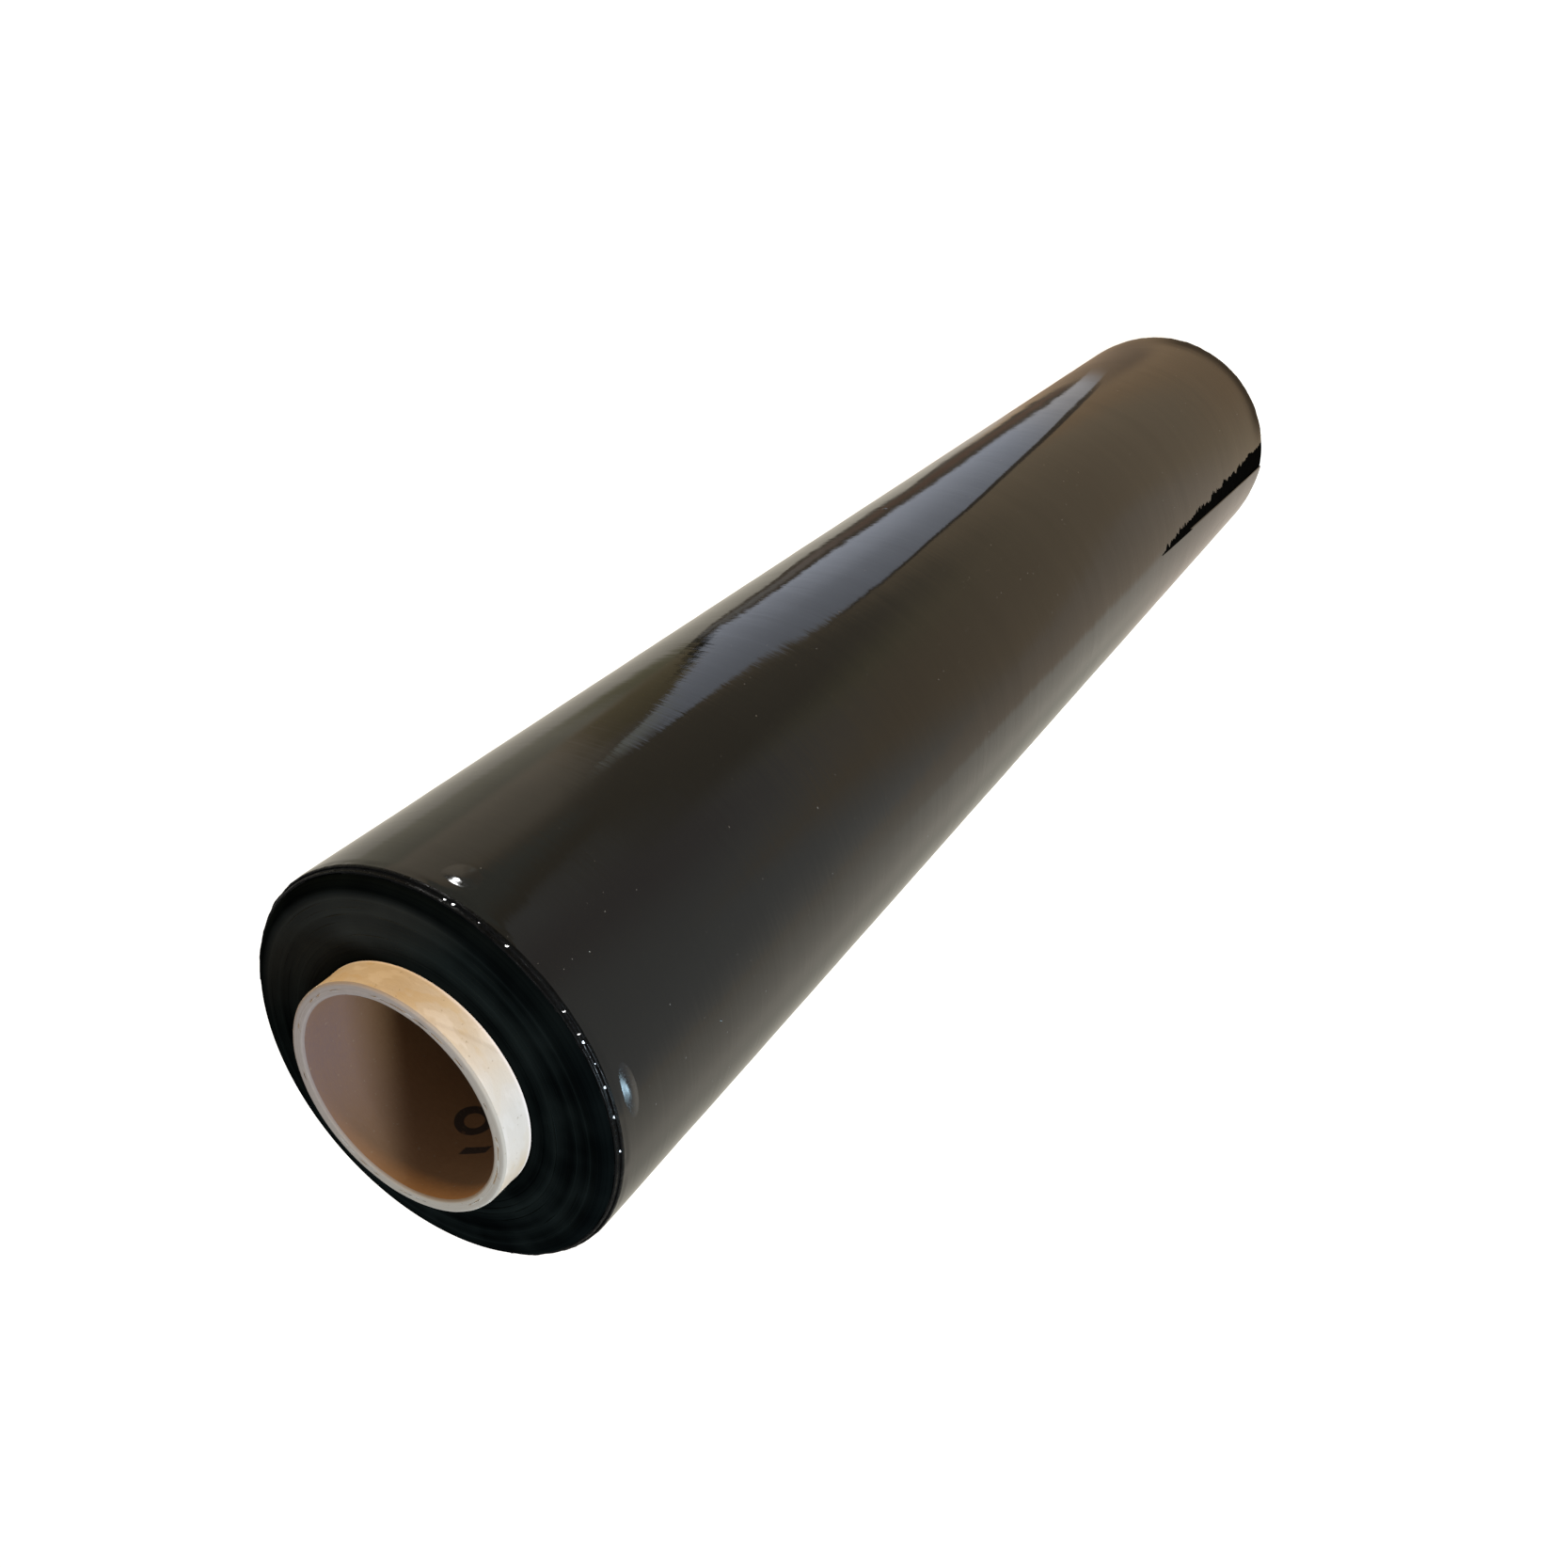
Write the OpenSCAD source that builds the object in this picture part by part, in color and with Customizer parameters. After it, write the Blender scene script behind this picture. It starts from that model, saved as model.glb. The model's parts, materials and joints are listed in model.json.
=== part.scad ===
// Roll of black stretch wrap for pallets, wound on a spiral-wound cardboard core.
// It stands on the lower end of its core: +Z runs up the core's axis, and the origin
// is the centre of the core's lower end. All sizes are in millimetres.

/* [Cardboard core] */
// Bore of the core tube
core_bore_d = 50; // [25:0.5:76]
// Wall of the core tube
core_wall = 3.4; // [2:0.1:8]
// Length of bare core that stands out of the film at each end
core_stub = 8; // [4:0.5:40]
// Bevel on the core's cut edges
core_bevel = 0.4; // [0.2:0.1:0.8]

/* [Wound film] */
// Width of the film, which is the height of the wound part
film_w = 500; // [250:10:1000]
// Build of film on the core, from the core out to the last turn
film_build = 20.3; // [12:0.1:60]

/* [Rounded ends] */
// How far the last turns lie back from the end face
shoulder_drop = 3.8; // [1:0.1:8]
// Width of the rounded shoulder, from the rim inwards
shoulder_w = 4.6; // [3:0.1:8]
// Fullness of the shoulder, where 1 would be a plain bevel
shoulder_power = 1.9; // [1.2:0.1:3]
// Width of the bead that the curled edges of the last turns make at the rim
bead_w = 0.7; // [0.4:0.1:1.2]
// Depth of the crease between the bead and the shoulder
crease_d = 0.3; // [0.1:0.05:0.5]

/* [Turns on the end faces] */
// Step of the spiral, from one turn line to the next
turn_pitch = 1.6; // [1:0.1:4]
// Width of a turn line
line_w = 0.5; // [0.2:0.05:0.8]
// Depth of a turn line
line_d = 0.25; // [0.1:0.05:0.6]

/* [Loose tail] */
// Direction of the tail's free edge, counted from +X about +Z
tail_angle = -135.5; // [-180:0.5:180]
// Height, from the lower rim, over which the tail has sprung off the roll
tail_h = 130; // [40:5:200]
// Gap under the tail's free edge at the lower rim
tail_lift = 0.6; // [0.3:0.1:3]
// Thickness of the tail
tail_t = 0.3; // [0.2:0.05:0.6]
// Length of loose film, along the turn, behind the free edge
tail_reach = 17; // [10:1:40]

/* [Hidden] */
$fn = 96;

// Core: radii and length
bore_r = core_bore_d / 2;
core_r = bore_r + core_wall;
core_l = film_w + 2 * core_stub;

// Film: radius of the last turn, and heights of the end faces and rims
film_r = core_r + film_build;
face_low = core_stub;
face_high = core_stub + film_w;
rim_low = face_low + shoulder_drop;
rim_high = face_high - shoulder_drop;
shoulder_r = film_r - shoulder_w;
bead_r = film_r - bead_w;
crease_r = bead_r - bead_w / 2;
shoulder_end_r = crease_r - bead_w / 2;
shoulder_steps = 10;

// Spiral: the first line clears the core and the last one clears the shoulder
half_pitch = turn_pitch / 2;
first_line_r = core_r + turn_pitch;
half_turns = max(0, floor((shoulder_r - line_w - first_line_r) / half_pitch));
over = 0.1;

// Tail: it leaves the roll at tail_reach behind its edge, from just under the surface
tail_span = tail_reach / film_r * 180 / PI;
tail_root = 0.12;
tail_curl = 1.6;
tail_cols = 10;
tail_rows = 14;

// Height of the shoulder above the rim at radius r, from 0 at the rim to the full drop
function shoulder_rise(r) = shoulder_drop
    * (1 - pow((r - shoulder_r) / shoulder_w, shoulder_power));

// Section of one shoulder from the face out to the rim, with heights above the rim
function shoulder_line() = concat(
    [for (i = [0 : shoulder_steps])
        let (r = shoulder_r + (shoulder_end_r - shoulder_r) * i / shoulder_steps)
        [r, shoulder_rise(r)]],
    [
        [crease_r, shoulder_rise(crease_r) - crease_d],
        [bead_r, shoulder_rise(bead_r)],
        [bead_r + bead_w / 2, shoulder_rise(bead_r + bead_w / 2)],
        [film_r, 0]
    ]
);

function reversed(list) = [for (i = [len(list) - 1 : -1 : 0]) list[i]];

// Height of the tail's outside above the roll. u runs from 0 at the root to 1 at the
// free edge, and v from 0 at the lower rim to 1 where the tail lies down again.
function tail_rise(u, v) =
    (tail_root + (tail_lift + tail_t) * pow(cos(90 * v), 2)) * pow(u, tail_curl)
    - tail_root;

function tail_point(u, v, under) =
    let (
        a = tail_angle - tail_span * (1 - u),
        r = film_r + tail_rise(u, v) - under
    )
    [r * cos(a), r * sin(a), rim_low + tail_h * v];

// Spiral-wound cardboard tube with its four edges bevelled
module core_tube() {
    color("burlywood")
        rotate_extrude()
            polygon([
                [bore_r + core_bevel, 0],
                [core_r - core_bevel, 0],
                [core_r, core_bevel],
                [core_r, core_l - core_bevel],
                [core_r - core_bevel, core_l],
                [bore_r + core_bevel, core_l],
                [bore_r, core_l - core_bevel],
                [bore_r, core_bevel]
            ]);
}

// All turns of film as one body, with its rounded ends and curled rims
module wound_body() {
    rotate_extrude()
        polygon(concat(
            [[core_r, face_low]],
            [for (p = shoulder_line()) [p[0], rim_low - p[1]]],
            reversed([for (p = shoulder_line()) [p[0], rim_high + p[1]]]),
            [[core_r, face_high]]
        ));
}

// Half a turn of the line between two turns, cut as a V into a face at height 0
module half_turn_line(r) {
    rotate_extrude(angle = 180)
        polygon([
            [r - line_w / 2, over],
            [r, -line_d],
            [r + line_w / 2, over]
        ]);
}

// Spiral of turn lines that widens by one pitch a turn. Its half turns have two centres
// in turn, half a pitch apart, so that each begins where the one before it ends.
module turn_lines() {
    rotate([0, 0, tail_angle])
        for (i = [0 : 1 : half_turns - 1])
            translate([i % 2 == 0 ? 0 : half_pitch, 0, 0])
                rotate([0, 0, i % 2 == 0 ? 0 : 180])
                    half_turn_line(first_line_r + half_pitch * i);
}

// The last turn's loose corner: a curved sheet that stands off more and more towards
// its free edge and towards the lower rim
module loose_tail() {
    cols = tail_cols + 1;
    outer = [for (j = [0 : tail_rows]) for (i = [0 : tail_cols])
        tail_point(i / tail_cols, j / tail_rows, 0)];
    inner = [for (j = [0 : tail_rows]) for (i = [0 : tail_cols])
        tail_point(i / tail_cols, j / tail_rows, tail_t)];
    n = len(outer);
    skins = [for (j = [0 : tail_rows - 1]) for (i = [0 : tail_cols - 1])
        let (a = j * cols + i, b = a + 1, c = b + cols, d = a + cols)
        each [[a, c, b], [a, d, c], [n + a, n + b, n + c], [n + a, n + c, n + d]]];
    ends = [for (i = [0 : tail_cols - 1])
        let (a = i, b = a + 1, e = tail_rows * cols)
        each [[a, b, n + b], [a, n + b, n + a],
            [e + b, e + a, n + e + a], [e + b, n + e + a, n + e + b]]];
    edges = [for (j = [0 : tail_rows - 1])
        let (a = j * cols, d = a + cols, e = tail_cols)
        each [[d, a, n + a], [d, n + a, n + d],
            [a + e, d + e, n + d + e], [a + e, n + d + e, n + a + e]]];
    polyhedron(points = concat(outer, inner), faces = concat(skins, ends, edges));
}

module film_roll() {
    color([0.12, 0.12, 0.11]) {
        difference() {
            wound_body();
            translate([0, 0, face_high])
                turn_lines();
            translate([0, 0, face_low])
                mirror([0, 0, 1])
                    turn_lines();
        }
        loose_tail();
    }
}

core_tube();
film_roll();
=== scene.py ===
"""Black stretch wrap wound on a cardboard core, standing on the core's end on a pale floor."""

import json
from math import cos, pi, radians, sin, tan, tau

import bmesh
import bpy
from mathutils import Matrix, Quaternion, Vector, noise


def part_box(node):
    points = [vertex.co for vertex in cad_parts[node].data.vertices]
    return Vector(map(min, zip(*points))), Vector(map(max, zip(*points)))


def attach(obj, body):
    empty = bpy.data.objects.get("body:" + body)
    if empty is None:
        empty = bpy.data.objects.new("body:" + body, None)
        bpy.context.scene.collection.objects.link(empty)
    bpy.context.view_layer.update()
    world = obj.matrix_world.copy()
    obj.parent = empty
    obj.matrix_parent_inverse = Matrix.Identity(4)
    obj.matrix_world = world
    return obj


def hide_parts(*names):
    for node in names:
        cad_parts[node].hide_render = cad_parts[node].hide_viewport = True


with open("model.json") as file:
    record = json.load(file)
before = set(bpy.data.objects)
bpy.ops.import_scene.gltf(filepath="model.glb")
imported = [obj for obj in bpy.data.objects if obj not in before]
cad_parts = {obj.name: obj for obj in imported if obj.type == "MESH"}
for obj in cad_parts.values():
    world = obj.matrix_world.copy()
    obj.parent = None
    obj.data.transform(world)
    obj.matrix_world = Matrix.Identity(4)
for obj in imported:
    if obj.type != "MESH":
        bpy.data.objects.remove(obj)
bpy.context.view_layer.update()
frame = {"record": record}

MM = 0.001

# Sizes taken from the frame
CORE_LOW, CORE_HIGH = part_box("core_tube")
FILM_LOW, FILM_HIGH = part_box("film_roll")
BORE_R = next(m for m in frame["record"]["mounts"] if m["name"] == "core_bore")["dims"]["r_mm"] * MM
CORE_R = CORE_HIGH.x
ROLL_R = FILM_HIGH.x
FACE_LOW, FACE_HIGH = FILM_LOW.z, FILM_HIGH.z
MIDDLE_Z = (FACE_LOW + FACE_HIGH) / 2
WALL_MIDDLE_R = (CORE_R + BORE_R) / 2

# Rounded ends of the wound film
SHOULDER_DROP = 3.8 * MM
SHOULDER_W = 4.6 * MM
SHOULDER_POWER = 1.9
BEAD_W = 0.7 * MM
CREASE_D = 0.35 * MM
RIM_LOW = FACE_LOW + SHOULDER_DROP
RIM_HIGH = FACE_HIGH - SHOULDER_DROP
SKIN_R = ROLL_R - 0.1 * MM

# Distances from the middle of the roll, up or down, to both rims, both end faces and both tips
RIM_REACH = RIM_HIGH - MIDDLE_Z
FACE_REACH = FACE_HIGH - MIDDLE_Z
TIP_REACH = CORE_HIGH.z - MIDDLE_Z

# Loose tail of the last turn, along the lower part of the roll
TAIL_ANGLE = radians(-131.65)
TAIL_SLANT = radians(8.4)
TAIL_H = 145 * MM
TAIL_LIFT = 0.6 * MM
TAIL_T = 0.15 * MM
TAIL_REACH = 17 * MM

# Camera, placed from the middle of the upper rim
CAMERA_OUT = 0.2762
CAMERA_UP = 0.1718
CAMERA_HEADING = radians(90.85)
CAMERA_DOWN = radians(48.76)
CAMERA_ROLL = radians(-131.47)
CAMERA_LENS = 34.06
SENSOR_W = 36.0


class Field:
    """A node socket that adds and multiplies like a number, so that a rule reads as a formula."""

    def __init__(self, tree, socket):
        self.tree, self.socket = tree, socket

    def math(self, operation, *values):
        node = self.tree.nodes.new("ShaderNodeMath")
        node.operation = operation
        for slot, value in zip(node.inputs, values):
            feed(self.tree, slot, value)
        return Field(self.tree, node.outputs[0])

    def __add__(self, other):
        return self.math("ADD", self, other)

    def __radd__(self, other):
        return self.math("ADD", other, self)

    def __sub__(self, other):
        return self.math("SUBTRACT", self, other)

    def __rsub__(self, other):
        return self.math("SUBTRACT", other, self)

    def __mul__(self, other):
        return self.math("MULTIPLY", self, other)

    def __rmul__(self, other):
        return self.math("MULTIPLY", other, self)

    def __truediv__(self, other):
        return self.math("DIVIDE", self, other)

    def __neg__(self):
        return self.math("MULTIPLY", self, -1.0)

    def __abs__(self):
        return self.math("ABSOLUTE", self)

    def root(self):
        return self.math("SQRT", self)

    def sign(self):
        return self.math("SIGN", self)

    def least(self, other):
        return self.math("MINIMUM", self, other)

    def most(self, other):
        return self.math("MAXIMUM", self, other)

    def turn_from(self, x):
        """The angle of the point (x, self)."""
        return self.math("ARCTAN2", self, x)

    def above(self, other):
        return self.math("GREATER_THAN", self, other)

    def below(self, other):
        return self.math("LESS_THAN", self, other)

    def between_turns(self):
        """How far this is from the nearest whole number, from 0 to 0.5."""
        return self.math("PINGPONG", self, 0.5)

    def ramp(self, low, high):
        """0 up to low, 1 from high, and a smooth rise between. With low above high it falls."""
        node = self.tree.nodes.new("ShaderNodeMapRange")
        node.interpolation_type = "SMOOTHSTEP"
        flipped = low > high
        feed(self.tree, node.inputs["Value"], self)
        node.inputs["From Min"].default_value = min(low, high)
        node.inputs["From Max"].default_value = max(low, high)
        node.inputs["To Min"].default_value = 1.0 if flipped else 0.0
        node.inputs["To Max"].default_value = 0.0 if flipped else 1.0
        return Field(self.tree, node.outputs["Result"])

    def bell(self, centre, width):
        """1 at centre, falling away to about a third at width from it."""
        off = (self - centre) / width
        return self.math("EXPONENT", -(off * off))


def feed(tree, slot, value):
    """Links a field or a socket to the slot, or sets the slot to a plain value."""
    if isinstance(value, Field):
        tree.links.new(value.socket, slot)
    elif isinstance(value, bpy.types.NodeSocket):
        tree.links.new(value, slot)
    else:
        slot.default_value = value


def new_node(tree, kind, settings=(), **inputs):
    """A node with its settings, and its inputs set by name, with _ for a space."""
    node = tree.nodes.new(kind)
    for name, value in dict(settings).items():
        setattr(node, name, value)
    for name, value in inputs.items():
        feed(tree, node.inputs[name.replace("_", " ")], value)
    return node


def combined(tree, x, y, z):
    return new_node(tree, "ShaderNodeCombineXYZ", X=x, Y=y, Z=z).outputs[0]


def noise_of(tree, vector, detail=2.0, roughness=0.5):
    """Smooth noise from about 0 to 1 at a place that is given in its own waves."""
    node = new_node(tree, "ShaderNodeTexNoise", {"noise_dimensions": "3D"},
                    Vector=vector, Scale=1.0, Detail=detail, Roughness=roughness)
    return Field(tree, node.outputs[0])


def noise_along(tree, value, detail=2.0):
    """Smooth noise of one value, given in its own waves."""
    node = new_node(tree, "ShaderNodeTexNoise", {"noise_dimensions": "1D"},
                    W=value, Scale=1.0, Detail=detail)
    return Field(tree, node.outputs[0])


def waves(tree, place, across, along, detail=2.0, roughness=0.5):
    """Smooth noise at a place (x, y, z), with waves of a width and a length in millimetres."""
    x, y, z = place
    in_waves = combined(tree, x / (across * MM), y / (across * MM), z / (along * MM))
    return noise_of(tree, in_waves, detail, roughness)


# Shape trees

def shape_tree(name, sizes):
    """A geometry tree with a Geometry input and output, and one named input for each size."""
    tree = bpy.data.node_groups.new(name, "GeometryNodeTree")
    face = tree.interface
    face.new_socket("Geometry", in_out="INPUT", socket_type="NodeSocketGeometry")
    for size, value in sizes.items():
        socket = face.new_socket(size, in_out="INPUT", socket_type="NodeSocketFloat")
        socket.default_value = value
    face.new_socket("Geometry", in_out="OUTPUT", socket_type="NodeSocketGeometry")
    start = tree.nodes.new("NodeGroupInput")
    end = tree.nodes.new("NodeGroupOutput")
    return tree, {s: Field(tree, start.outputs[s]) for s in ["Geometry", *sizes]}, end


WELD = 0.002 * MM


def run_tree(base, tree, sizes, materials):
    """Runs the tree on the base object and leaves its result as a plain closed mesh."""
    modifier = base.modifiers.new(tree.name, "NODES")
    modifier.node_group = tree
    for item in tree.interface.items_tree:
        if item.in_out == "INPUT" and item.name in sizes:
            modifier[item.identifier] = float(sizes[item.name])
    bpy.context.view_layer.update()
    depsgraph = bpy.context.evaluated_depsgraph_get()
    mesh = bpy.data.meshes.new_from_object(base.evaluated_get(depsgraph))
    mesh.name = base.name
    base.modifiers.clear()
    base.data = mesh
    bm = bmesh.new()
    bm.from_mesh(mesh)
    bmesh.ops.remove_doubles(bm, verts=bm.verts, dist=WELD)
    bmesh.ops.recalc_face_normals(bm, faces=bm.faces)
    bm.to_mesh(mesh)
    bm.free()
    for material in materials:
        if material.name not in mesh.materials:
            mesh.materials.append(material)
    mesh.polygons.foreach_set("use_smooth", [True] * len(mesh.polygons))
    return base


def line_object(name, points, closed=True):
    """A mesh of edges only, through points of (radius, height), for a tree to turn.

    The tree's sweep lays the section's Y along -Z, so the heights are stored as minus Y."""
    mesh = bpy.data.meshes.new(name)
    count = len(points)
    edges = [(i, (i + 1) % count) for i in range(count if closed else count - 1)]
    mesh.from_pydata([(r, -z, 0.0) for r, z in points], edges, [])
    piece = bpy.data.objects.new(name, mesh)
    bpy.context.scene.collection.objects.link(piece)
    return piece


def turned(tree, section, columns):
    """Turns a section line, drawn as (radius, height), once round the Z axis."""
    hair = 0.001 * MM
    curve = new_node(tree, "GeometryNodeMeshToCurve", Mesh=section)
    ring = new_node(tree, "GeometryNodeCurvePrimitiveCircle", Resolution=columns, Radius=hair)
    skin = new_node(tree, "GeometryNodeCurveToMesh", Curve=ring.outputs["Curve"],
                    Profile_Curve=curve.outputs["Curve"])
    return skin.outputs["Mesh"]


def place_fields(tree):
    """x, y, z, radius and angle of each point."""
    position = tree.nodes.new("GeometryNodeInputPosition").outputs[0]
    parts = new_node(tree, "ShaderNodeSeparateXYZ", Vector=position)
    x, y, z = (Field(tree, s) for s in parts.outputs)
    return x, y, z, (x * x + y * y).root(), y.turn_from(x)


def moved(tree, geometry, outwards, upwards):
    """Moves each point away from the Z axis and along it."""
    x, y, _, r, _ = place_fields(tree)
    shift = combined(tree, x / r * outwards, y / r * outwards, upwards)
    return new_node(tree, "GeometryNodeSetPosition", Geometry=geometry,
                    Offset=shift).outputs["Geometry"]


def coloured(tree, geometry, material, where=None):
    node = new_node(tree, "GeometryNodeSetMaterial", Geometry=geometry, Material=material)
    if where is not None:
        feed(tree, node.inputs["Selection"], where)
    return node.outputs["Geometry"]


def realized(tree, geometry):
    return new_node(tree, "GeometryNodeRealizeInstances", Geometry=geometry).outputs["Geometry"]


def steps(start, end, count):
    """Count even steps from start, without end."""
    return [start + (end - start) * i / count for i in range(count)]


# Wound film

FILM_COLUMNS = 280
FACE_ROWS = 24
SHOULDER_ROWS = 10
INNER_BEAD_ROWS = 6
INNER_BEAD_R = 0.28 * MM
OUTER_BEAD_ROWS = 8
OUTER_BEAD_R = 0.34 * MM
LOW_BAND, LOW_ROWS = 12 * MM, 14
MIDDLE_ROWS = 196
HIGH_BAND, HIGH_ROWS = 14 * MM, 28
DRAW_IN_W = 2.2 * MM

FILM_SIZES = {"Gauge bands": 0.16 * MM, "Creases": 0.05 * MM, "Rim draw-in": 0.05 * MM,
              "Rim waver": 0.6 * MM, "Rings": 0.16 * MM}


def shoulder_rise(r):
    """Height of the rounded shoulder above the rim at radius r."""
    return SHOULDER_DROP * (1 - (max(0.0, r - ROLL_R + SHOULDER_W) / SHOULDER_W) ** SHOULDER_POWER)


def bead_arc(r, z, size, start, end, count):
    """Points round a bead of the given size, from one direction in degrees to another."""
    turns = [radians(start + (end - start) * i / count) for i in range(count + 1)]
    return [(r + size * cos(t), z + size * sin(t)) for t in turns]


def shoulder_section():
    """Points of (radius, height above the rim), from the face out over two curled edges."""
    shoulder_r = ROLL_R - SHOULDER_W
    end_r = ROLL_R - 2.3 * BEAD_W
    points = [(r, shoulder_rise(r)) for r in steps(shoulder_r, end_r, SHOULDER_ROWS)]
    crease_r = ROLL_R - 2.1 * BEAD_W
    points.append((crease_r, shoulder_rise(crease_r) - CREASE_D))
    inner_r = ROLL_R - 1.6 * BEAD_W
    points += bead_arc(inner_r, shoulder_rise(inner_r) - 0.1 * MM, INNER_BEAD_R, 160, -20,
                       INNER_BEAD_ROWS)
    points.append((ROLL_R - 1.08 * BEAD_W, 0.25 * MM))
    points += bead_arc(SKIN_R - OUTER_BEAD_R, OUTER_BEAD_R, OUTER_BEAD_R, 150, 0, OUTER_BEAD_ROWS)
    points.append((SKIN_R, 0.0))
    return points


def film_section():
    """Closed section of the wound film as (radius, height), up the outside and down the bore."""
    face = [(r, 0.0) for r in steps(CORE_R + 0.02 * MM, ROLL_R - SHOULDER_W, FACE_ROWS)]
    shoulder = shoulder_section()
    low = [(r, FACE_LOW - z) for r, z in face] + [(r, RIM_LOW - z) for r, z in shoulder]
    high = [(r, FACE_HIGH + z) for r, z in face] + [(r, RIM_HIGH + z) for r, z in shoulder]
    side = steps(RIM_LOW, RIM_LOW + LOW_BAND, LOW_ROWS)[1:]
    side += steps(RIM_LOW + LOW_BAND, RIM_HIGH - HIGH_BAND, MIDDLE_ROWS)
    side += steps(RIM_HIGH - HIGH_BAND, RIM_HIGH, HIGH_ROWS)
    return low + [(SKIN_R, z) for z in side] + high[::-1]


def side_shape(tree, sizes, x, y, z, r):
    """How far the outside stands out or lies in: gauge bands and stretch creases."""
    from_middle = abs(z - MIDDLE_Z)
    gauge = noise_along(tree, z / (38 * MM), 1.0) + 0.35 * noise_along(tree, z / (9 * MM), 1.0)
    creases = waves(tree, (x, y, z), 26, 6, 1.0)
    rise = sizes["Gauge bands"] * (gauge - 0.65) + sizes["Creases"] * (creases - 0.5)
    on_side = from_middle.ramp(RIM_REACH - 1 * MM, RIM_REACH - 8 * MM)
    near_rim = (from_middle - (RIM_REACH - DRAW_IN_W)).most(0.0) / DRAW_IN_W
    drawn_in = sizes["Rim draw-in"] * near_rim * near_rim
    return (rise * on_side - drawn_in) * r.ramp(SKIN_R - 0.3 * MM, SKIN_R - 0.05 * MM)


def rim_shape(tree, sizes, x, y, z, r):
    """How the curled edges of the last turns waver along the rim, outwards and upwards."""
    at_rim = r.ramp(ROLL_R - 3.0 * BEAD_W, ROLL_R - 2.0 * BEAD_W)
    at_rim = at_rim * abs(z - MIDDLE_Z).ramp(RIM_REACH - 1.6 * MM, RIM_REACH - 0.2 * MM)
    waver = waves(tree, (x, y, z), 7, 40) - 0.5
    crumple = waves(tree, (x, y, z), 2.6, 2, 1.0) - 0.5
    outwards = sizes["Rim waver"] * (0.5 * waver + 0.5 * crumple - 0.12) * at_rim
    upwards = sizes["Rim waver"] * (waver + 0.7 * crumple) * at_rim
    return outwards, upwards


def face_shape(tree, sizes, x, y, z, r):
    """How the edges of the turns wander on an end face, ring by ring."""
    rings = noise_along(tree, r / (1.3 * MM), 2.0) - 0.5
    drift = waves(tree, (x, y, r), 24, 4, 1.0) - 0.5
    on_face = abs(z - MIDDLE_Z).ramp(FACE_REACH - 3 * MM, FACE_REACH - 1 * MM)
    off_core = r.ramp(CORE_R, CORE_R + 0.6 * MM)
    return sizes["Rings"] * (rings + 0.6 * drift) * on_face * off_core


def film_tree(side, ends, rim):
    tree, given, end = shape_tree("wound_film", FILM_SIZES)
    skin = turned(tree, given["Geometry"], FILM_COLUMNS)
    x, y, z, r, _ = place_fields(tree)
    up = (z - MIDDLE_Z).sign()
    rim_out, rim_up = rim_shape(tree, given, x, y, z, r)
    outwards = side_shape(tree, given, x, y, z, r) + rim_out
    upwards = (face_shape(tree, given, x, y, z, r) + rim_up) * up
    skin = realized(tree, moved(tree, skin, outwards, upwards))
    skin = coloured(tree, skin, side)
    over_rim = abs(z - MIDDLE_Z).above(RIM_REACH - 0.1 * MM)
    skin = coloured(tree, skin, ends, over_rim)
    skin = coloured(tree, skin, rim, over_rim * r.above(ROLL_R - 2.15 * BEAD_W))
    feed(tree, end.inputs["Geometry"], skin)
    return tree


def make_film(side, ends, rim):
    piece = line_object("wound_film", film_section())
    return run_tree(piece, film_tree(side, ends, rim), FILM_SIZES, [side, ends, rim])


# Edges of single turns that stand proud of the end faces

TURN_STEP = 1.6 * MM
TURN_EDGE_R = 0.1 * MM
TURN_CLEAR = 0.5 * MM
TURN_POINTS = 120
TURN_SIDES = 6
TURN_WANDER = 0.5 * MM
TURN_SUNK = 0.62


def turn_edges_tree(ends):
    """One spiral cord on each end face, mostly sunk, that comes up here and there."""
    first_r, last_r = CORE_R + TURN_STEP, ROLL_R - SHOULDER_W - TURN_CLEAR
    sizes = {"First radius": first_r, "Last radius": last_r,
             "Turns": (last_r - first_r) / TURN_STEP, "Edge radius": TURN_EDGE_R}
    tree, given, end = shape_tree("turn_edges", sizes)
    spiral = new_node(tree, "GeometryNodeCurveSpiral", Resolution=TURN_POINTS,
                      Rotations=given["Turns"], Start_Radius=given["First radius"],
                      End_Radius=given["Last radius"], Height=0.0)
    bead = new_node(tree, "GeometryNodeCurvePrimitiveCircle", Resolution=TURN_SIDES,
                    Radius=given["Edge radius"])
    cord = new_node(tree, "GeometryNodeCurveToMesh", Curve=spiral.outputs["Curve"],
                    Profile_Curve=bead.outputs["Curve"], Fill_Caps=True)
    both = tree.nodes.new("GeometryNodeJoinGeometry")
    for height in (FACE_LOW, FACE_HIGH):
        placed = new_node(tree, "GeometryNodeTransform", Geometry=cord.outputs["Mesh"],
                          Translation=(0.0, 0.0, height), Rotation=(0.0, 0.0, TAIL_ANGLE))
        tree.links.new(placed.outputs["Geometry"], both.inputs["Geometry"])
    x, y, z, r, _ = place_fields(tree)
    wander = waves(tree, (x, y, r), 9, 1.2) - TURN_SUNK
    upwards = (z - MIDDLE_Z).sign() * wander * TURN_WANDER
    raised = moved(tree, both.outputs["Geometry"], 0.0, upwards)
    feed(tree, end.inputs["Geometry"], coloured(tree, realized(tree, raised), ends))
    return tree, sizes


def make_turn_edges(ends):
    piece = line_object("turn_edges", [(0.0, 0.0), (TURN_STEP, 0.0)], closed=False)
    tree, sizes = turn_edges_tree(ends)
    return run_tree(piece, tree, sizes, [ends])


# Loose tail, with a dull black sheet of slack film beside it that paints the shade under the tail's
# edge

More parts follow.
